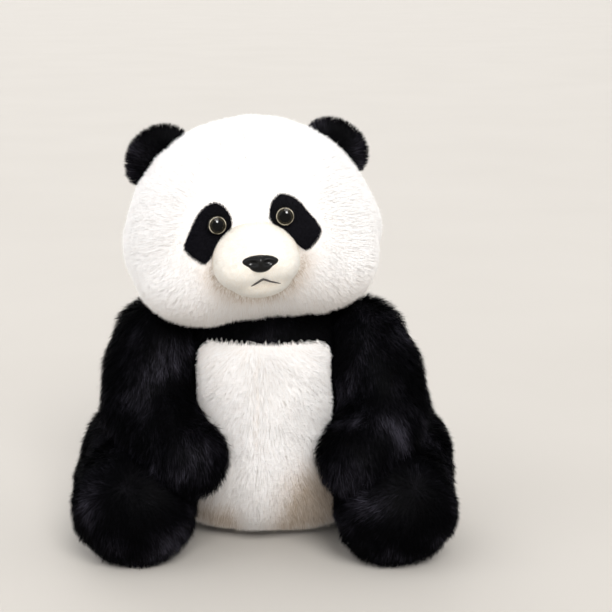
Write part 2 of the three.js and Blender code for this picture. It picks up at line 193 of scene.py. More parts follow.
def muzzle_distance(points):
    p = to_head(points)
    shape = ellipsoid(p, *MUZZLE)
    for side in (1, -1):
        shape = join(shape, ellipsoid(p, (FACE_X + side * 13, -90, -19), (17, 16, 14)), 9)
    lip = ellipsoid(p, (FACE_X + 2, -87, -33.5), (19, 15, 9))
    return join(shape, lip, 6)


def torso_distance(points):
    belly = ellipsoid(points, (0, 24, 70), (87, 71, 68.5))
    rump = ellipsoid(points, (0, 40, 50), (80, 53, 52))
    chest = ellipsoid(points, (0, 23, 128), (79, 65, 62))
    shape = join(join(belly, chest, 26), rump, 10)
    for side in (1, -1):
        shape = join(shape, ellipsoid(points, (side * 31, 28, 42), (50, 48, 41)), 14)
    yoke = ellipsoid(points, (0, 16, 165), (74, 48, 38))
    shape = join(shape, yoke, 22)
    x, y, z = points.T
    front = ramp(-y, 0, 20)
    from_seam = x - BELLY_SEAM_X
    parting = ramp(z, 85, 110) * (1 - ramp(z, 145, 160))
    groove_depth, ridge_height = 0.8, 2.5
    shape = shape + front * groove_depth * parting * np.exp(-((from_seam / 3) ** 2))
    ridge = front * ridge_height * ramp(z, 8, 30) * (1 - ramp(z, 70, 105))
    shape = shape - ridge * np.exp(-((from_seam / 15) ** 2))
    shape = keep_off(shape, skull_distance(points) + 4, 6)
    return -join(-shape, points[:, 2] - FLOOR_GAP, 8)


def limb(points, balls, softness):
    shape = ellipsoid(points, *balls[0])
    for ball in balls[1:]:
        shape = join(shape, ellipsoid(points, *ball), softness)
    return shape


def sided(balls, side):
    """The balls of one limb; the last number of each moves both of a pair to the panda's left."""
    return [((side * x + shift, y, z), radii) for (x, y, z), radii, shift in balls]


# centre and radii of the ellipsoids that a limb is blended from, and their shift to the panda's left
ARM_BALLS = [
    ((81.5, 4, 159), (36, 37, 37), -5.5), ((91.5, -12, 138), (34, 35, 35), -2.5),
    ((95.7, -26, 116), (32, 33, 33), -0.5), ((85, -46, 99), (31, 30, 31), 4),
    ((67, -66, 87), (27, 26, 28), 6),
]
LEG_BALLS = [
    ((105.1, 18, 56), (46.3, 45, 54), -0.5), ((105, -12, 54), (45.3, 40, 49), -0.5),
    ((104.5, -42, 48), (44.8, 36, 45), -0.5), ((103.3, -65, 43.5), (44.2, 34, 42.5), -0.5),
]


def lumps(points, size, height, seed):
    return height * wobble(points, size, seed)[:, 0]


def leg_distance(side):
    def distance(points):
        shape = limb(points, sided(LEG_BALLS, side), 10)
        shape = shape + lumps(points, 62, 1.3, 301 + side)
        shape = keep_off(shape, torso_distance(points) - 2, 5)
        return -join(-shape, points[:, 2] - FLOOR_GAP, 6)
    return distance


def arm_distance(side):
    leg = leg_distance(side)

    def distance(points):
        shape = limb(points, sided(ARM_BALLS, side), 12)
        shape = shape + lumps(points, 55, 1.2, 311 + side)
        shape = keep_off(shape, skull_distance(points) - 5, 5)
        shape = keep_off(shape, torso_distance(points) - 2.5, 5)
        return keep_off(shape, leg(points) - 1, 5)
    return distance


def ear_distance(name, side):
    lean = math.radians(EAR_LEAN * side)

    def distance(points):
        p = to_head(points) - np.array(EARS[name])
        x = p[:, 0] * math.cos(lean) - p[:, 2] * math.sin(lean)
        z = p[:, 0] * math.sin(lean) + p[:, 2] * math.cos(lean)
        disc = ellipsoid(np.stack([x, p[:, 1], z], axis=1), (0, 0, 0), EAR_RADII)
        return disc + 2.2 * np.exp(-((x / 11) ** 2) - ((z / 12) ** 2)) * ramp(-p[:, 1], 0, 3)
    return distance


def tail_distance(points):
    return ellipsoid(points, (0, 92, 36), (16.5, 12, 14.5))


def neck_distance(points):
    x, y, z = points.T
    stem = np.maximum(np.hypot(x, y - 20) - 24, np.abs(z - 172) - 26)
    return join(stem, ellipsoid(points, (0, 20, 198), (30, 30, 30)), 6)


def pellet_bag_distance(points):
    pouch = ellipsoid(points, (0, 30, 27), (43, 37, 18))
    flange = ellipsoid(points, (0, 30, 27), (46, 40, 1.6))
    return join(pouch + lumps(points, 24, 0.5, 321), flange, 2)


def nose_distance(points):
    """A wide rounded triangle with a ridge down the middle and a nostril hollow on each side of it."""
    x, y, z = (to_head(points) - np.array([NOSE_AT[0], NOSE_Y, NOSE_AT[1]])).T
    turn = math.radians(NOSE_TURN)
    across = x * math.cos(turn) - z * math.sin(turn)
    up = x * math.sin(turn) + z * math.cos(turn)
    p = np.stack([across, y, up], axis=1)
    shape = join(ellipsoid(p, (0, 1, 0.7), (13.6, 6, 5)), ellipsoid(p, (0, 0.6, -3.4), (7.4, 5.2, 4.3)), 4)
    shape = join(shape, ellipsoid(p, (0, -2.2, 1.6), (1.9, 3.6, 3.6)), 2)
    for side in (1, -1):
        shape = keep_off(shape, ellipsoid(p, (side * 6.6, -5.4, 0.3), (4.6, 3.4, 2.3)), 1.8)
    return shape


# ---------------------------------------------------------------- meshes


def mesh_object(name, vertices, faces, material):
    mesh = bpy.data.meshes.new(name)
    mesh.from_pydata([tuple(v) for v in np.asarray(vertices) * MM], [], [tuple(f) for f in faces])
    mesh.polygons.foreach_set("use_smooth", np.ones(len(mesh.polygons), bool))
    mesh.materials.append(material)
    obj = bpy.data.objects.new(name, mesh)
    bpy.context.scene.collection.objects.link(obj)
    return obj


def unit_sphere(level):
    ball = bmesh.new()
    bmesh.ops.create_icosphere(ball, subdivisions=level, radius=1)
    directions = np.array([v.co for v in ball.verts], float)
    faces = np.array([[v.index for v in f.verts] for f in ball.faces])
    ball.free()
    return unit(directions), faces


def skin(distance, inside, level=6, reach=190):
    """Vertices and faces of the closed surface seen from a point inside it."""
    directions, faces = unit_sphere(level)
    centre = np.array(inside, float)
    near = np.zeros(len(directions))
    far = np.full(len(directions), float(reach))
    found = np.zeros(len(directions), bool)
    for radius in np.linspace(reach / 48, reach, 48):
        outside = distance(centre + directions * radius) > 0
        far = np.where(outside & ~found, radius, far)
        found |= outside
        near = np.where(~found, radius, near)
    for _ in range(14):
        middle = (near + far) / 2
        outside = distance(centre + directions * middle[:, None]) > 0
        far = np.where(outside, middle, far)
        near = np.where(outside, near, middle)
    return centre + directions * near[:, None], faces


def scatter(vertices, faces, per_mm2, seed):
    """Points spread evenly over a mesh."""
    random = np.random.default_rng(seed)
    corners = vertices[faces]
    sides = (corners[:, 1] - corners[:, 0], corners[:, 2] - corners[:, 0])
    areas = np.linalg.norm(np.cross(*sides), axis=1) / 2
    count = int(areas.sum() * per_mm2)
    chosen = random.choice(len(faces), count, p=areas / areas.sum())
    u, v = random.random((2, count, 1))
    flip = u + v > 1
    u, v = np.where(flip, 1 - u, u), np.where(flip, 1 - v, v)
    a, b, c = corners[chosen, 0], corners[chosen, 1], corners[chosen, 2]
    return a + (b - a) * u + (c - a) * v


# ---------------------------------------------------------------- materials


def new_material(name, **settings):
    material = bpy.data.materials.new(name)
    material.use_nodes = True
    shader = material.node_tree.nodes["Principled BSDF"]
    for socket, value in settings.items():
        shader.inputs[socket.replace("_", " ")].default_value = value
    return material, shader


def colour_ramp(nodes, stops):
    ramp_node = nodes.new("ShaderNodeValToRGB")
    elements = ramp_node.color_ramp.elements
    for element, (position, colour) in zip(elements, (stops[0], stops[-1])):
        element.position = position
        element.color = (*colour, 1)
    for position, colour in stops[1:-1]:
        elements.new(position).color = (*colour, 1)
    return ramp_node


def pile_material(name, shades, root_shade, **settings):
    """Strand colour: the shade runs across U, and V goes from the dark root to the bright tip; the darker
    root is painted shade deep in the pile.
    """
    material, shader = new_material(name, **settings)
    nodes, links = material.node_tree.nodes, material.node_tree.links
    where = nodes.new("ShaderNodeUVMap")
    where.uv_map = "OFBake"
    axes = nodes.new("ShaderNodeSeparateXYZ")
    links.new(where.outputs["UV"], axes.inputs["Vector"])
    across = colour_ramp(nodes, shades)
    links.new(axes.outputs["X"], across.inputs["Fac"])
    along = colour_ramp(nodes, [(0.0, (root_shade,) * 3), (0.75, (1, 1, 1))])
    links.new(axes.outputs["Y"], along.inputs["Fac"])
    mix = nodes.new("ShaderNodeMix")
    mix.data_type = "RGBA"
    mix.blend_type = "MULTIPLY"
    mix.inputs["Factor"].default_value = 1
    links.new(across.outputs["Color"], mix.inputs["A"])
    links.new(along.outputs["Color"], mix.inputs["B"])
    links.new(mix.outputs["Result"], shader.inputs["Base Color"])
    return material


def noisy_material(name, low, high, scale, bump, **settings):
    """Two colours mixed by fine noise, which also raises the surface a little."""
    material, shader = new_material(name, **settings)
    nodes, links = material.node_tree.nodes, material.node_tree.links
    place = nodes.new("ShaderNodeTexCoord")
    noise = nodes.new("ShaderNodeTexNoise")
    noise.inputs["Scale"].default_value = scale
    noise.inputs["Detail"].default_value = 4
    links.new(place.outputs["Object"], noise.inputs["Vector"])
    colours = colour_ramp(nodes, [(0.3, low), (0.7, high)])
    links.new(noise.outputs["Fac"], colours.inputs["Fac"])
    links.new(colours.outputs["Color"], shader.inputs["Base Color"])
    relief = nodes.new("ShaderNodeBump")
    relief.inputs["Strength"].default_value = bump
    relief.inputs["Distance"].default_value = 0.0005
    links.new(noise.outputs["Fac"], relief.inputs["Height"])
    links.new(relief.outputs["Normal"], shader.inputs["Normal"])
    return material


# The tan and brown stops low on the white ramp are painted shade, reached where the head and belly are
# darkened.
WHITE_PILE = pile_material(
    "white_pile",
    [
        (0.0, (0.26, 0.20, 0.155)), (0.25, (0.54, 0.435, 0.33)), (0.55, (0.86, 0.80, 0.75)),
        (1.0, (0.975, 0.97, 0.965)),
    ],
    0.93, Roughness=0.85, Specular_IOR_Level=0.1,
)
# The brighter stops at the top of the black ramp are painted sheen.
BLACK_PILE = pile_material(
    "black_pile",
    [
        (0.0, (0.0006, 0.0006, 0.001)), (0.45, (0.0018, 0.0018, 0.0026)), (0.75, (0.016, 0.015, 0.02)),
        (1.0, (0.05, 0.047, 0.063)),
    ],
    0.35, Roughness=0.55, Specular_IOR_Level=0.02,
)
# The tan stops low on the cream ramp are painted shade round the muzzle's edge and under the mouth.
CREAM_PILE = pile_material(
    "cream_pile",
    [
        (0.0, (0.50, 0.37, 0.24)), (0.35, (0.79, 0.69, 0.56)), (0.7, (0.93, 0.885, 0.80)),
        (1.0, (0.97, 0.955, 0.91)),
    ],
    0.93, Roughness=0.85, Specular_IOR_Level=0.1,
)
PATCH_PILE = pile_material(
    "patch_pile", [(0.0, (0.002, 0.002, 0.003)), (1.0, (0.012, 0.0115, 0.0155))], 0.5,
    Roughness=0.6, Specular_IOR_Level=0.02,
)
WHITE_CLOTH = noisy_material(
    "white_backing", (0.82, 0.78, 0.74), (0.90, 0.87, 0.84), 600, 0.5, Roughness=0.9,
)
BLACK_CLOTH = noisy_material(
    "black_backing", (0.001, 0.001, 0.0013), (0.004, 0.0038, 0.005), 600, 0.5,
    Roughness=0.9, Specular_IOR_Level=0.03,
)
CREAM_CLOTH = noisy_material(
    "cream_backing", (0.86, 0.79, 0.69), (0.93, 0.88, 0.80), 700, 0.3, Roughness=0.9,
)
PELLET_CLOTH = noisy_material(
    "pellet_cloth", (0.50, 0.47, 0.43), (0.66, 0.63, 0.58), 900, 0.8, Roughness=0.9,
)
NOSE_PLASTIC = noisy_material(
    "nose_plastic", (0.002, 0.002, 0.0022), (0.004, 0.004, 0.004), 300, 0.12, Roughness=0.3,
    Specular_IOR_Level=0.16, Coat_Weight=0.06, Coat_Roughness=0.1,
)
DARK_THREAD = noisy_material(
    "dark_thread", (0.016, 0.013, 0.012), (0.05, 0.04, 0.036), 3000, 0.8, Roughness=0.7,
)
WHITE_THREAD = noisy_material(
    "white_thread", (0.7, 0.68, 0.64), (0.86, 0.84, 0.8), 3000, 0.8, Roughness=0.7,
)
WASHER_PLASTIC = noisy_material(
    "washer_plastic", (0.74, 0.74, 0.72), (0.82, 0.82, 0.80), 800, 0.15, Roughness=0.4,
)


def eye_material(name, low, high, scale):
    return noisy_material(
        name, low, high, scale, 0.03, Roughness=0.1, Specular_IOR_Level=0.04,
        Coat_Weight=0.16, Coat_Roughness=0.03,
    )


PUPIL = eye_material("pupil", (0.001, 0.001, 0.001), (0.002, 0.002, 0.002), 400)
EYE_CUP = eye_material("eye_cup", (0.002, 0.002, 0.002), (0.005, 0.005, 0.004), 400)
EYE_RIM = eye_material("eye_rim", (0.06, 0.05, 0.03), (0.52, 0.47, 0.37), 200)
IRIS = eye_material("iris", (0.003, 0.003, 0.002), (0.026, 0.022, 0.013), 700)

FLOOR_PAINT = noisy_material(
    "floor_paint", (0.49, 0.463, 0.425), (0.505, 0.478, 0.44), 3, 0.0, Roughness=0.85,
)

# ---------------------------------------------------------------- pile

STRAND_STEPS = (0.0, 0.38, 0.72)


def strand_mesh(name, rings, tips, normals, tip_normals, uv, material):
    """One mesh of tapering ribbons. rings holds (left, right) point pairs from the root up."""
    count = len(tips)
    per_strand = 2 * len(rings) + 1
    points = np.empty((count, per_strand, 3), np.float32)
    shading = np.empty((count, per_strand, 3), np.float32)
    uvs = np.empty((count, per_strand, 2), np.float32)
    for i, (left, right) in enumerate(rings):
        points[:, 2 * i], points[:, 2 * i + 1] = left, right
        shading[:, 2 * i] = shading[:, 2 * i + 1] = normals[i]
        uvs[:, 2 * i, 0], uvs[:, 2 * i + 1, 0] = uv - 0.003, uv + 0.003
        uvs[:, 2 * i, 1] = uvs[:, 2 * i + 1, 1] = 0.02 + 0.96 * STRAND_STEPS[i]
    points[:, -1], shading[:, -1] = tips, tip_normals
    uvs[:, -1, 0], uvs[:, -1, 1] = uv, 0.98
    pattern = []
    for i in range(len(rings) - 1):
        pattern += [(2 * i, 2 * i + 1, 2 * i + 3), (2 * i, 2 * i + 3, 2 * i + 2)]
    last = 2 * (len(rings) - 1)
    pattern.append((last, last + 1, last + 2))
    pattern = np.array(pattern)
    faces = (np.arange(count)[:, None, None] * per_strand + pattern[None]).reshape(-1, 3).astype(np.int32)
    mesh = bpy.data.meshes.new(name)
    mesh.vertices.add(count * per_strand)
    mesh.vertices.foreach_set("co", (points.reshape(-1) * MM))
    mesh.loops.add(faces.size)
    mesh.loops.foreach_set("vertex_index", faces.reshape(-1))
    mesh.polygons.add(len(faces))
    mesh.polygons.foreach_set("loop_start", np.arange(0, faces.size, 3, dtype=np.int32))
    mesh.polygons.foreach_set("use_smooth", np.ones(len(faces), bool))
    mesh.update(calc_edges=True)
    layer = mesh.uv_layers.new(name="OFBake")
    layer.data.foreach_set("uv", uvs.reshape(-1, 2)[faces.reshape(-1)].reshape(-1))
    mesh.normals_split_custom_set_from_vertices(unit(shading.reshape(-1, 3)))
    mesh.materials.append(material)
    obj = bpy.data.objects.new(name, mesh)
    bpy.context.scene.collection.objects.link(obj)
    return obj


def clump_shift(roots, tips, size, amount, seed):
    """How far each tip moves towards the tip that leads its tuft. size is the strands in a tuft."""
    random = np.random.default_rng(seed)
    count = max(int(len(roots) / max(size, 1)), 1)
    chosen = random.choice(len(roots), count, replace=False)
    tree = kdtree.KDTree(count)
    for i, index in enumerate(chosen):
        tree.insert(roots[index], i)
    tree.balance()
    owner = np.array([tree.find(root)[1] for root in roots])
    return (tips[chosen][owner] - tips) * amount * random.uniform(0.4, 1.0, (len(roots), 1))


def grow(name, roots, normals, comb, length, material, width=0.5, lift=(0.5, 0.2), droop=0.15, shade=None,
         tuft=14, tuft_amount=0.45, frizz=0.16, gloss=0.3, roll_limit=1.2, pressed=None, seed=1):
    """A pile piece. comb is where the strands lean, and lift is how far they stand up at the root and
    at the tip. pressed runs from 0, held flat under a neighbour, to 1, free. gloss lets each strand
    catch its own light, and roll_limit is how far it may turn about its length."""
    random = np.random.default_rng(seed)
    count = len(roots)
    length = np.broadcast_to(length, (count,)) * random.uniform(0.72, 1.12, count)
    if pressed is None:
        pressed = np.ones(count)
    length = length * (0.35 + 0.65 * pressed)
    stand = pressed[:, None] ** 0.5
    comb = unit(comb - normals * dot(comb, normals))
    comb = unit(comb + frizz * 1.6 * wobble(roots, 26, seed + 7) + frizz * random.normal(size=(count, 3)))
    start = unit(normals * lift[0] * stand + comb * (1 - lift[0]))
    down = np.array([0, 0, -droop])
    loose = frizz * 0.7 * random.normal(size=(count, 3))
    end = unit(normals * lift[1] * stand + comb * (1 - lift[1]) + down + loose)
    base = roots - normals * 0.6

    def point(s):
        return base + length[:, None] * (start * (s - s * s / 2) + end * (s * s / 2))

    shift = clump_shift(roots, point(1.0), tuft, tuft_amount, seed + 3)
    roll = random.uniform(-roll_limit, roll_limit, (count, 1))
    rings, ring_normals = [], []
    wide = width * random.uniform(0.7, 1.25, (count, 1))
    floor = 0.5 + 0.8 * random.random(count)
    for s in STRAND_STEPS:
        along = unit(start * (1 - s) + end * s + shift / length[:, None])
        side = unit(np.cross(along, normals))
        up = np.cross(side, along)
        across = side * np.cos(roll) + up * np.sin(roll)
        middle = point(s) + shift * s ** 1.6
        half = across * wide * (0.5 - 0.28 * s)
        ring = (middle - half, middle + half)
        for edge in ring:
            edge[:, 2] = np.maximum(edge[:, 2], floor)
        rings.append(ring)
        ring_normals.append(unit(normals + gloss * (0.8 * up + side * np.sign(roll))))
    tips = point(1.0) + shift
    tips[:, 2] = np.maximum(tips[:, 2], floor)
    if shade is None:
        shade = random.uniform(0.2, 1.0, count)
    uv = np.clip(shade + random.normal(0, 0.08, count), 0.01, 0.99)
    return strand_mesh(name, rings, tips, ring_normals, ring_normals[-1], uv, material)


# ---------------------------------------------------------------- build

DENSITY = 1.0
THICKEN = 1.0


def place(obj, body, slot, nodes=(), fill=None):
    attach(obj, body)
    if nodes:
        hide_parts(*nodes)


def free_of(roots, others, room=9):
    """0 where another body presses on the pile, 1 where nothing is within room of it."""
    nearest = np.full(len(roots), 1e3)
    for other in others:
        nearest = np.minimum(nearest, other(roots))
    return ramp(nearest, -1, room)


def patch_edge(p, side, wider=0.0):
    """Roughly how far a point of the head is outside an eye patch, seen from the front."""
    middle, roundness, size = np.array(PATCH_MIDDLE), 9, 15
    flat = np.stack([(p[:, 0] - FACE_X) * side, p[:, 2]], axis=1) - middle
    corners = np.array(PATCH_OUTLINE) - middle
    reach = np.zeros(len(p))
    for corner, following in zip(corners, np.roll(corners, -1, axis=0)):
        outward = unit(np.array([corner[1] - following[1], following[0] - corner[0]]))
        reach += np.maximum(flat @ outward / (corner @ outward + wider), 0) ** roundness
    return (reach ** (1 / roundness) - 1) * size


def streaks(roots, seed):
    """Black pile is mostly very dark, with soft patches where the strands catch the light."""
    random = np.random.default_rng(seed)
    soft = 0.32 * wobble(roots, 42, seed)[:, 0] + 0.14 * wobble(roots, 15, seed + 1)[:, 1]
    return np.clip(0.34 + soft + random.uniform(-0.2, 0.28, len(roots)), 0.02, 0.98)


def build_head():
    vertices, faces = skin(skull_distance, from_head((0, 0, 0)), 6, 120)
    ball = mesh_object("head_skin", vertices, faces, WHITE_CLOTH)
    place(ball, "head", "white_fur", ["head_stuffing"], 0.95)
    density, full_length, width = PILE["head"]
    roots = scatter(vertices, faces, density * DENSITY, 11)
    p = to_head(roots)
    front = p[:, 1] < 0
    edge = np.where(front, np.minimum(patch_edge(p, 1), patch_edge(p, -1)), 99)
    under = np.hypot(roots[:, 0], roots[:, 1] - 20)
    keep = (muzzle_distance(roots) > 0.5) & (edge > 1.2) & ~((p[:, 2] < -55) & (under < 33))
    roots, p, edge, front = roots[keep], p[keep], edge[keep], front[keep]
    normals = slope(skull_distance, roots)
    comb = unit(p - np.array([0, -98, -10])) + np.array([0, 0.25, -0.3])
    comb = comb + ramp(p[:, 1], -10, 60)[:, None] * np.array([0, 0, -1.1])
    for side in (1, -1):
        away = p - np.array([FACE_X + side * PATCH_MIDDLE[0], p[:, 1].mean(), PATCH_MIDDLE[1]])
        away = unit(away * np.array([1, 0, 1]))
        near_patch = front * np.exp(-np.maximum(patch_edge(p, side), 0) / 8)
        comb = comb + 2.2 * near_patch[:, None] * away
    comb = comb @ head_turn.T
    snout = muzzle_distance(roots)
    near_face = np.minimum(snout / 34, (edge + 1) / 24)
    shortest = 3.6
    length = shortest + (full_length - shortest) * ramp(near_face, 0, 1)
    pressed = free_of(roots, [torso_distance, arm_distance(1), arm_distance(-1)], 12)
    random = np.random.default_rng(5)
    # Painted shade: the white pile is darker low on the head, and darker and tan round the underside of the
    # muzzle.
    low = ramp(-p[:, 2], 22, 72)
    snout_painted_shade = (1 - ramp(snout, 0, 20)) * ramp(-p[:, 2], -8, 26)
    shade = 0.95 - 0.22 * low - 0.62 * snout_painted_shade + random.uniform(-0.08, 0.08, len(roots))
    crown = (np.abs(p[:, 0]) < 24) & (p[:, 2] > 24)
    back = ~crown & (p[:, 1] > 12)
    pieces = [("head_crown", crown, "head_crown_panel")]
    for name, side in SIDES:
        half = p[:, 0] * side > 0
        pieces.append((f"face_{name}", ~crown & ~back & half, f"face_panel_{name}"))
        pieces.append((f"head_back_{name}", back & half, f"head_back_panel_{name}"))
    for i, (name, mask, node) in enumerate(pieces):
        fur = grow(
            f"{name}_pile", roots[mask], normals[mask], comb[mask], length[mask], WHITE_PILE,
            width=width * THICKEN, lift=(0.58, 0.26), droop=0.14, shade=shade[mask], tuft=6, tuft_amount=0.1,
            frizz=0.11, gloss=0.0, roll_limit=0.4, pressed=pressed[mask], seed=20 + i,
        )
        place(fur, "head", "white_fur", [node])


def mouth_points(steps=48):
    """The mouth line on the muzzle, as points of the head, with straight runs between its marks."""
    marks = np.array(MOUTH)
    t = np.linspace(0, len(marks) - 1, steps)
    flat = np.stack([np.interp(t, np.arange(len(marks)), marks[:, k]) for k in (0, 1)], axis=1)
    near = np.full(steps, -70.0)
    far = np.full(steps, -130.0)
    for _ in range(24):
        middle = (near + far) / 2
        inside = muzzle_distance(from_head(np.stack([flat[:, 0], middle, flat[:, 1]], axis=1))) < 0
        near = np.where(inside, middle, near)
        far = np.where(inside, far, middle)
    return np.stack([flat[:, 0], near, flat[:, 1]], axis=1)


def build_muzzle():
    vertices, faces = skin(muzzle_distance, from_head((FACE_X, -76, -14)), 6, 60)
    snout = mesh_object("muzzle_skin", vertices, faces, CREAM_CLOTH)
    place(snout, "head", "cream_pile", (), 0.95)
    density, full_length, width = PILE["muzzle"]
    roots = scatter(vertices, faces, density * DENSITY, 31)
    roots = roots[skull_distance(roots) > -1.5]
    normals = slope(muzzle_distance, roots)
    p = to_head(roots)
    comb = (unit(p - np.array([0, -108, -8])) + np.array([0, 0.3, -0.25])) @ head_turn.T
    line = mouth_points()
    gap = np.full(len(p), 99.0)
    for point in line:
        gap = np.minimum(gap, np.linalg.norm(p - point, axis=1))
    nose_gap = nose_distance(roots)
    keep = (nose_gap > -0.4) & (gap > 0.35)
    random = np.random.default_rng(8)
    shade = 0.9 + random.uniform(-0.06, 0.06, len(roots))
    # Painted shade: darker in the crease under the mouth, where the muzzle meets the face, most at its
    # underside, and round the nose.
    painted_shade_below_mouth = np.exp(-(((p[:, 2] + 31.5) / 2.6) ** 2) - (((p[:, 0] - 1) / 13) ** 2))
    painted_shade_below_mouth = painted_shade_below_mouth * ramp(-p[:, 1], 80, 95)
    shade -= 0.4 * painted_shade_below_mouth
    shade -= 0.42 * (1 - ramp(skull_distance(roots), 0, 13)) * ramp(-p[:, 2], -8, 20)
    shade -= 0.22 * (1 - ramp(skull_distance(roots), 0, 20))
    shade -= 0.12 * (1 - ramp(nose_gap, 0, 4))
    length = full_length * (0.35 + 0.65 * ramp(gap, 0.3, 2.2))
    upper = p[:, 2] > CHIN_TOP
    for name, mask in (("muzzle", keep & upper), ("chin", keep & ~upper)):
        fur = grow(
            f"{name}_pile", roots[mask], normals[mask], comb[mask], length[mask], CREAM_PILE,
            width=width * THICKEN, lift=(0.7, 0.45), droop=0.1, shade=shade[mask], tuft=8, tuft_amount=0.1,
            frizz=0.12, gloss=0.0, seed=41,
        )
        place(fur, "head", "cream_pile", [f"{name}_panel"])
    build_mouth(line)


def build_mouth(line):
    """A thread laid along the mouth, thickest in the middle, with one stitch twist after another."""
    around = 8
    rings = []
    out = slope(muzzle_distance, from_head(line)) @ head_turn
    for i, (point, normal) in enumerate(zip(line, out)):
        along = unit(line[min(i + 1, len(line) - 1)] - line[max(i - 1, 0)])
        side = unit(np.cross(along, normal))
        share = i / (len(line) - 1)
        radius = 0.28 + 0.55 * math.sin(math.pi * share ** 0.85) ** 0.8
        radius *= 1 + 0.10 * math.sin(share * 2 * math.pi * 14)
        centre = point + normal * 1.0
        for k in range(around):
            turn = 2 * math.pi * k / around + share * 9
            rings.append(centre + radius * (side * math.cos(turn) + normal * math.sin(turn)))
    faces = []
    for i in range(len(line) - 1):
        for k in range(around):
            a, b = i * around + k, i * around + (k + 1) % around
            faces.append((a, b, b + around, a + around))
    faces.append(tuple(range(around))[::-1])
    faces.append(tuple(range((len(line) - 1) * around, len(line) * around)))
    thread = mesh_object("mouth_thread", from_head(rings), faces, DARK_THREAD)
    place(thread, "head", "dark_thread", ["mouth_stitch"])


def build_nose():
    inside = from_head((NOSE_AT[0], -106, NOSE_AT[1] + 0.6))
    vertices, faces = skin(nose_distance, inside, 6, 20)
    nose = mesh_object("nose_moulding", vertices, faces, NOSE_PLASTIC)
    place(nose, "head", "nose_plastic", ["nose"])


def build_eyes():
    """Moulded eyes: a black cup, a pale rim, a dark olive iris and a black pupil on one glossy dome."""
    zones = [(0.60, PUPIL), (0.83, IRIS), (0.92, EYE_RIM), (1.0, EYE_CUP)]
    around = 64
    for name, side in SIDES:
        low, high = (np.array(corner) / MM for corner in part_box(f"eye_dome_{name}"))
        base = to_head(((low + high) / 2)[None])[0]
        look = np.array([-0.10 * side + 0.06, -1, 0.02])
        look /= np.linalg.norm(look)
        right = unit(np.cross(look, np.array([0, 0, 1.0])))
        top = np.cross(right, look)
        stops = [0.0]
        for edge, _ in zones:
            stops += list(np.linspace(stops[-1], edge, 6)[1:])
        centre = np.array([FACE_X + side * EYE_AT[0], base[1] + 1.9, EYE_AT[1]])
        dome_height = 4.3
        points = [centre + look * dome_height]
        for stop in stops[1:]:
            for k in range(around):
                turn = 2 * math.pi * k / around
                radial = right * math.cos(turn) + top * math.sin(turn)
                ridge = 0.22 * math.exp(-(((stop - 0.865) / 0.06) ** 2))
                height = dome_height * math.sqrt(max(1 - 0.92 * stop * stop, 0)) + ridge
                points.append(centre + radial * EYE_RADIUS * stop + look * height)
        rear = centre - look * 2.5
        for k in range(around):
            turn = 2 * math.pi * k / around
            points.append(rear + (right * math.cos(turn) + top * math.sin(turn)) * EYE_RADIUS)
        points.append(rear)
        faces, kinds = [], []
        for k in range(around):
            faces.append((0, 1 + k, 1 + (k + 1) % around))
            kinds.append(0)
        for i in range(len(stops) - 1):
            outer_stop = stops[min(i + 2, len(stops) - 1)]
            zone = next(n for n, (edge, _) in enumerate(zones) if outer_stop <= edge + 1e-6)
            for k in range(around):
                a, b = 1 + i * around + k, 1 + i * around + (k + 1) % around
                faces.append((a, a + around, b + around, b))
                kinds.append(zone if i + 2 < len(stops) else len(zones) - 1)
        last = 1 + (len(stops) - 1) * around
        for k in range(around):
            faces.append((last + k, len(points) - 1, last + (k + 1) % around))
            kinds.append(len(zones) - 1)
        eye = mesh_object(f"eye_{name}", from_head(points), faces, PUPIL)
        for _, material in zones[1:]:
            eye.data.materials.append(material)
        eye.data.polygons.foreach_set("material_index", np.array(kinds, np.int32))
        place(eye, "head", "eye_dome", [f"eye_dome_{name}", f"eye_iris_{name}"])


def build_patches():
    density, full_length, width = PILE["patch"]
    for name, side in SIDES:
        def raised(points, side=side):
            p = to_head(points)
            return skull_distance(points) - 2.0 * ramp(-patch_edge(p, side), -1, 4) * (p[:, 1] < 0)
        sheet_points, sheet_faces = skin(raised, from_head((side * 33, -40, 6)), 7, 60)
        p = to_head(sheet_points)
        pile_sheet = cut_sheet(sheet_points, sheet_faces, patch_edge(p, side, 0.8), p)
        roots = scatter(*pile_sheet, density * DENSITY, 51 + side)
        outer, layer = cut_sheet(sheet_points, sheet_faces, patch_edge(p, side, 0.2), p)
        inner = outer - slope(skull_distance, outer) * 2.6
        patch = mesh_object(f"eye_patch_{name}_cloth", *closed_sheet(outer, inner, layer), BLACK_CLOTH)
        place(patch, "head", "black_pile", [f"eye_patch_{name}"])
        p = to_head(roots)
        eye_gap = np.hypot(p[:, 0] - FACE_X - side * EYE_AT[0], p[:, 2] - EYE_AT[1])
        free = (eye_gap > EYE_RADIUS - 0.5) & (muzzle_distance(roots) > 0) & (patch_edge(p, side) < 0)
        roots, p, eye_gap = roots[free], p[free], eye_gap[free]
        normals = slope(skull_distance, roots)
        from_eye = p - np.array([FACE_X + side * EYE_AT[0], -70, EYE_AT[1]])
        comb = (unit(from_eye * np.array([1, 0, 1])) + np.array([0, 0.1, -0.4])) @ head_turn.T
        shortest = 2.0
        length = shortest + (full_length - shortest) * ramp(eye_gap, EYE_RADIUS, EYE_RADIUS + 7)
        fur = grow(
            f"eye_patch_{name}_pile", roots, normals, comb, length, PATCH_PILE, width=width * THICKEN,
            lift=(0.7, 0.4), droop=0.1, tuft=8, tuft_amount=0.2, frizz=0.18, gloss=0.1, seed=61 + side,
        )
        place(fur, "head", "black_pile")


def cut_sheet(vertices, faces, edge, p):
    """The part of a head sheet where edge is below 0, on the face side."""
    kept = ((edge < 0) & (p[:, 1] < -30))[faces].all(axis=1)
    used = np.unique(faces[kept])
    renumber = np.full(len(vertices), -1)
    renumber[used] = np.arange(len(used))
    return vertices[used], renumber[faces[kept]]


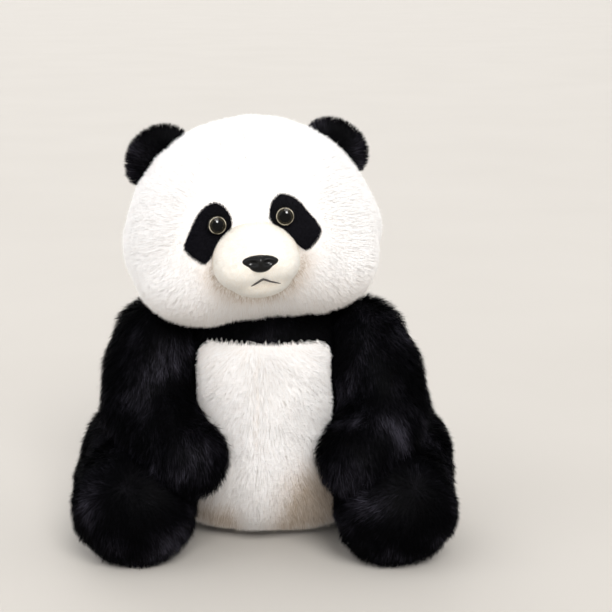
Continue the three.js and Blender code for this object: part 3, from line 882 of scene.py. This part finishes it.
def closed_sheet(outer, inner, faces):
    """A thin closed solid between two matching layers of points."""
    count = len(outer)
    edges = set()
    for a, b, c in faces:
        edges.update(((a, b), (b, c), (c, a)))
    rim = sorted((a, b) for a, b in edges if (b, a) not in edges)
    walls = [(b, a, a + count, b + count) for a, b in rim]
    solid = [tuple(f) for f in faces] + [(c + count, b + count, a + count) for a, b, c in faces] + walls
    return np.vstack([outer, inner]), solid


def build_ears():
    density, length, width = PILE["ear"]
    for name, side in SIDES:
        distance = ear_distance(name, side)
        middle = from_head(EARS[name])
        vertices, faces = skin(distance, middle, 5, 40)
        ear = mesh_object(f"ear_{name}_skin", vertices, faces, BLACK_CLOTH)
        place(ear, f"ear_{name}", "black_fur", (), 0.8)
        roots = scatter(vertices, faces, density * DENSITY, 71 + side)
        roots = roots[skull_distance(roots) > -5]
        normals = slope(distance, roots)
        comb = unit(roots - joint_at[f"ear_{name}_fold"])
        front = (to_head(roots) - np.array(EARS[name]))[:, 1] < 0
        pressed = free_of(roots, [skull_distance], 5)
        for part, mask in (("front", front), ("back", ~front)):
            fur = grow(
                f"ear_{part}_{name}_pile", roots[mask], normals[mask], comb[mask], length, BLACK_PILE,
                width=width * THICKEN, lift=(0.55, 0.35), droop=0.0, shade=streaks(roots[mask], 84 + side),
                tuft=8, tuft_amount=0.3, gloss=0.15, pressed=pressed[mask], seed=81 + side,
            )
            place(fur, f"ear_{name}", "black_fur", [f"ear_{part}_panel_{name}"])


def panel_gap(points):
    """How far a point is outside the rounded white panel of the belly, seen from the front."""
    x, z = points[:, 0], points[:, 2]
    middle, half_width, corner = -1, 39, 14
    across = np.maximum(np.abs(x - middle) - half_width, 0) * ramp(z, 80, 110)
    up = np.maximum(z - (YOKE_FRONT_EDGE - 12.5), 0)
    return np.hypot(across, up) - corner


def is_black(points):
    """The shoulder band: above a rounded white belly panel in front, above a straight edge behind."""
    y, z = points[:, 1], points[:, 2]
    return np.where(y < SIDE_SEAM_Y, panel_gap(points) > 0, z > YOKE_BACK_EDGE)


def build_torso():
    vertices, faces = skin(torso_distance, (0, 24, 88), 6, 170)
    trunk = mesh_object("torso_skin", vertices, faces, WHITE_CLOTH)
    trunk.data.materials.append(BLACK_CLOTH)
    dark_faces = is_black(vertices[faces].mean(axis=1))
    trunk.data.polygons.foreach_set("material_index", dark_faces.astype(np.int32))
    place(trunk, "torso", "white_fur", ["torso_stuffing"], 0.9)
    density, full_length, width = PILE["torso"]
    roots = scatter(vertices, faces, density * DENSITY, 91)
    under_seat = (roots[:, 2] < 2.2) & (np.hypot(roots[:, 0], roots[:, 1] - 24) < 60)
    roots = roots[(skull_distance(roots) > 1) & ~under_seat]
    others = [skull_distance] + [make(side) for make in (arm_distance, leg_distance) for _, side in SIDES]
    pressed = free_of(roots, others)
    normals = slope(torso_distance, roots)
    x, y, z = roots.T
    out, up = x - BELLY_SEAM_X, z - 182
    spread = np.hypot(out, up) + 14
    front_comb = np.stack([1.3 * out / spread, 0 * x, up / spread], axis=1)
    plain_comb = np.stack([0.25 * np.tanh(x / 20), 0 * x, -1 + 0 * x], axis=1)
    front = y < SIDE_SEAM_Y
    black = is_black(roots)
    comb = np.where((front & ~black)[:, None], front_comb, plain_comb)
    random = np.random.default_rng(9)
    # Painted shadow on the white pile: darker and tan low on the belly and by the floor, along the seam's
    # parting and on the panda's right side; the black yoke is darker in front, under the head.
    low_left = ramp(-z, -54, -26) * ramp(-x, 12, 30)
    low_right = ramp(-z, -98, -56) * ramp(x - 0.3 * (z - 50), -5, 28)
    foot_line = ramp(-z, -14, -3)
    painted_belly_shadow = np.maximum.reduce([0.8 * low_left, low_right, 0.5 * foot_line]) * ramp(-y, -12, 26)
    seam = np.exp(-((out / 0.9) ** 2)) * ramp(z, 85, 100) * (1 - ramp(z, 150, 165))
    white_shade = 0.92 - 0.6 * painted_belly_shadow - 0.36 * seam * front
    white_shade = white_shade - 0.1 * ramp(-x, 5, 50) + random.uniform(-0.1, 0.08, len(roots))
    shade = np.where(black, streaks(roots, 95) - 0.25 * front, white_shade)
    seat = z < SEAT_EDGE
    near_edge = ramp(np.abs(panel_gap(roots)), 0, 14)
    shortest = 5.5
    length = np.where(front, shortest + (full_length - shortest) * near_edge, full_length)
    length = length * (1 - 0.5 * ramp(-z, -20, -4))
    pieces = [
        ("chest_yoke", black & front, "chest_yoke", True), ("seat", ~black & seat, "seat_panel", False),
    ]
    for name, side in SIDES:
        half = (x - np.where(front, BELLY_SEAM_X, 0)) * side > 0
        pieces.append((f"back_yoke_{name}", black & ~front & half, f"back_yoke_{name}", True))
        pieces.append((f"belly_{name}", ~black & ~seat & front & half, f"belly_panel_{name}", False))
        pieces.append((f"back_{name}", ~black & ~seat & ~front & half, f"back_panel_{name}", False))
    for i, (name, mask, node, dark) in enumerate(pieces):
        material = BLACK_PILE if dark else WHITE_PILE
        fur = grow(
            f"{name}_pile", roots[mask], normals[mask], comb[mask], length[mask], material,
            width=width * THICKEN, lift=(0.55, 0.25), droop=0.2, shade=shade[mask], tuft=8, tuft_amount=0.22,
            frizz=0.18, gloss=0.15 if dark else 0.0, roll_limit=1.2 if dark else 0.4,
            pressed=pressed[mask], seed=100 + i,
        )
        place(fur, "torso", "black_fur" if dark else "white_fur", [node])


def build_arms():
    density, length, width = PILE["arm"]
    for name, side in SIDES:
        distance = arm_distance(side)
        vertices, faces = skin(distance, (side * 94, -24, 128), 6, 110)
        arm = mesh_object(f"arm_{name}_skin", vertices, faces, BLACK_CLOTH)
        place(arm, f"arm_{name}", "black_fur", [f"arm_stuffing_{name}"], 0.85)
        roots = scatter(vertices, faces, density * DENSITY, 121 + side)
        pressed = free_of(roots, [torso_distance, skull_distance, leg_distance(side)])
        normals = slope(distance, roots)
        paw = np.array(sided(ARM_BALLS, side)[-1][0])
        shoulder = np.array((side * 84, 6, 190.0))
        comb = unit(paw - shoulder) + 0.3 * unit(roots - paw) + np.array([side * 0.12, 0, -0.2])
        outer = (roots[:, 0] - side * 90) * side + (roots[:, 1] + 30) * -0.2 > 0
        for i, (part, mask) in enumerate((("outer", outer), ("inner", ~outer))):
            fur = grow(
                f"arm_{part}_{name}_pile", roots[mask], normals[mask], comb[mask], length, BLACK_PILE,
                width=width * THICKEN, lift=(0.52, 0.28), droop=0.18, shade=streaks(roots[mask], 141 + side),
                tuft=12, tuft_amount=0.35, frizz=0.2, gloss=0.15, pressed=pressed[mask],
                seed=131 + 2 * side + i,
            )
            place(fur, f"arm_{name}", "black_fur", [f"arm_{part}_panel_{name}"])


def build_legs():
    density, length, width = PILE["leg"]
    for name, side in SIDES:
        distance = leg_distance(side)
        vertices, faces = skin(distance, (side * 103, -28, 48), 6, 110)
        leg = mesh_object(f"leg_{name}_skin", vertices, faces, BLACK_CLOTH)
        place(leg, f"leg_{name}", "black_fur", [f"leg_stuffing_{name}"], 0.85)
        roots = scatter(vertices, faces, density * DENSITY, 151 + side)
        pressed = free_of(roots, [torso_distance, arm_distance(side)])
        normals = slope(distance, roots)
        sole = roots[:, 1] < -86
        whorl = np.array([side * 115 + 5, -100, 73.0])
        radial = unit(roots - whorl) + np.array([0, 0, -0.25])
        forward = np.array([side * 0.15, -0.8, -0.45])
        weight = ramp(-roots[:, 1], 50, 88)[:, None]
        comb = radial * weight + forward * (1 - weight)
        outer = roots[:, 0] * side > 104
        from_whorl = np.linalg.norm((roots - whorl) * np.array([1, 0.5, 1]), axis=1)
        # Painted shade and highlight: darker in the hollow round the whorl, lighter on a ring above it where
        # the light falls.
        shade = streaks(roots, 181 + side) - 0.5 * np.exp(-((from_whorl / 24) ** 2))
        shade = shade + 0.16 * np.exp(-(((from_whorl - 40) / 12) ** 2)) * ramp(roots[:, 2], 40, 60)
        parts = (("foot_sole", sole), ("leg_outer", ~sole & outer), ("leg_inner", ~sole & ~outer))
        for i, (part, mask) in enumerate(parts):
            fur = grow(
                f"{part}_{name}_pile", roots[mask], normals[mask], comb[mask], length, BLACK_PILE,
                width=width * THICKEN, lift=(0.52, 0.28), droop=0.15, shade=shade[mask], tuft=12,
                tuft_amount=0.35, frizz=0.26, gloss=0.15, pressed=pressed[mask], seed=161 + 3 * side + i,
            )
            place(fur, f"leg_{name}", "black_fur", [f"{part}_panel_{name}"])


def build_tail():
    vertices, faces = skin(tail_distance, (0, 92, 36), 5, 40)
    tail = mesh_object("tail_skin", vertices, faces, WHITE_CLOTH)
    place(tail, "tail", "white_fur", ["tail_stuffing"], 0.85)
    density, length, width = PILE["tail"]
    roots = scatter(vertices, faces, density * DENSITY, 171)
    roots = roots[torso_distance(roots) > -2]
    comb = np.array([0, 0.5, -1.0]) + 0 * roots
    shade = np.full(len(roots), 0.9)
    fur = grow(
        "tail_pile", roots, slope(tail_distance, roots), comb, length, WHITE_PILE,
        width=width * THICKEN, lift=(0.6, 0.3), droop=0.2, shade=shade, tuft=10, tuft_amount=0.3,
        gloss=0.0, roll_limit=0.4, seed=172,
    )
    place(fur, "tail", "white_fur", ["tail_cover"])


def build_inside():
    """What the covers hide: the neck plug, the bag of pellets, the seam threads and the lock washers."""
    vertices, faces = skin(neck_distance, (0, 20, 190), 5, 60)
    neck = mesh_object("neck_skin", vertices, faces, BLACK_CLOTH)
    place(neck, "neck", "black_fur", ["neck_stuffing"], 0.9)
    vertices, faces = skin(pellet_bag_distance, (0, 30, 27), 6, 60)
    pouch = mesh_object("pellet_pouch", vertices, faces, PELLET_CLOTH)
    place(pouch, "torso", "pellet_cloth", ["pellet_bag"], 0.6)
    finishes = {
        "neck_seam_thread": WHITE_THREAD, "closing_seam_stitches": WHITE_THREAD,
        "nose_lock_washer": WASHER_PLASTIC, "eye_lock_washer_left": WASHER_PLASTIC,
        "eye_lock_washer_right": WASHER_PLASTIC,
    }
    for node, material in finishes.items():
        frame["nodes"][node].material_slots[0].material = material


build_head()
build_muzzle()
build_nose()
build_patches()
build_eyes()
build_ears()
build_torso()
build_arms()
build_legs()
build_tail()
build_inside()


# ---------------------------------------------------------------- studio

def area_light(name, location, aim, power, size, colour=(1, 1, 1)):
    data = bpy.data.lights.new(name, "AREA")
    data.energy = power
    data.size = size
    data.color = colour
    lamp = bpy.data.objects.new(name, data)
    lamp.location = location
    lamp.rotation_euler = (Vector(aim) - Vector(location)).to_track_quat("-Z", "Y").to_euler()
    bpy.context.scene.collection.objects.link(lamp)
    return lamp


def sun(name, direction, strength, spread, colour=(1, 1, 1)):
    data = bpy.data.lights.new(name, "SUN")
    data.energy = strength
    data.angle = math.radians(spread)
    data.color = colour
    lamp = bpy.data.objects.new(name, data)
    lamp.rotation_euler = Vector(direction).to_track_quat("-Z", "Y").to_euler()
    bpy.context.scene.collection.objects.link(lamp)


def build_studio():
    half = 60 / MM
    corners = np.array([(-half, -half, 0), (half, -half, 0), (half, half, 0), (-half, half, 0)])
    floor = mesh_object("floor", corners, [(0, 1, 2, 3)], FLOOR_PAINT)
    sun("key", (-0.25, 0.85, -0.8), 2.15, 28, (1.0, 0.985, 0.965))
    sun("fill", (0.8, 0.6, -0.5), 0.9, 70, (0.97, 0.98, 1.0))
    sun("side_fill", (-0.9, 0.5, -0.3), 0.35, 70, (1.0, 0.99, 0.97))
    sun("back_fill", (0.25, -0.9, -0.4), 1.1, 60, (1.0, 0.99, 0.98))
    catch = area_light("catch_light", (0.35, -1.1, 0.75), (-0.01, -0.08, 0.25), 22, 0.27)
    catch.visible_diffuse = False
    bounce = area_light("bounce", (0.05, -1.3, 0.14), (0, 0, 0.17), 1.8, 0.9, (1.0, 0.96, 0.92))
    bounce.visible_glossy = False
    world = bpy.data.worlds.new("studio")
    world.use_nodes = True
    world.node_tree.nodes["Background"].inputs["Color"].default_value = (0.93, 0.93, 0.94, 1)
    world.node_tree.nodes["Background"].inputs["Strength"].default_value = 0.85
    bpy.context.scene.world = world
    bpy.context.scene.view_settings.view_transform = "Standard"


def build_camera():
    distance, elevation, sensor_width = 1.25, math.radians(13), 36
    picture_width = 0.496944
    data = bpy.data.cameras.new("camera")
    data.sensor_width = sensor_width
    data.lens = sensor_width * distance / picture_width
    camera = bpy.data.objects.new("camera", data)
    aim = Vector((0.0325, 0, 0.165 + 0.0283))
    camera.location = aim + Vector((0, -math.cos(elevation), math.sin(elevation))) * distance
    camera.rotation_euler = (aim - camera.location).to_track_quat("-Z", "Y").to_euler()
    bpy.context.scene.collection.objects.link(camera)
    bpy.context.scene.camera = camera


build_studio()
build_camera()
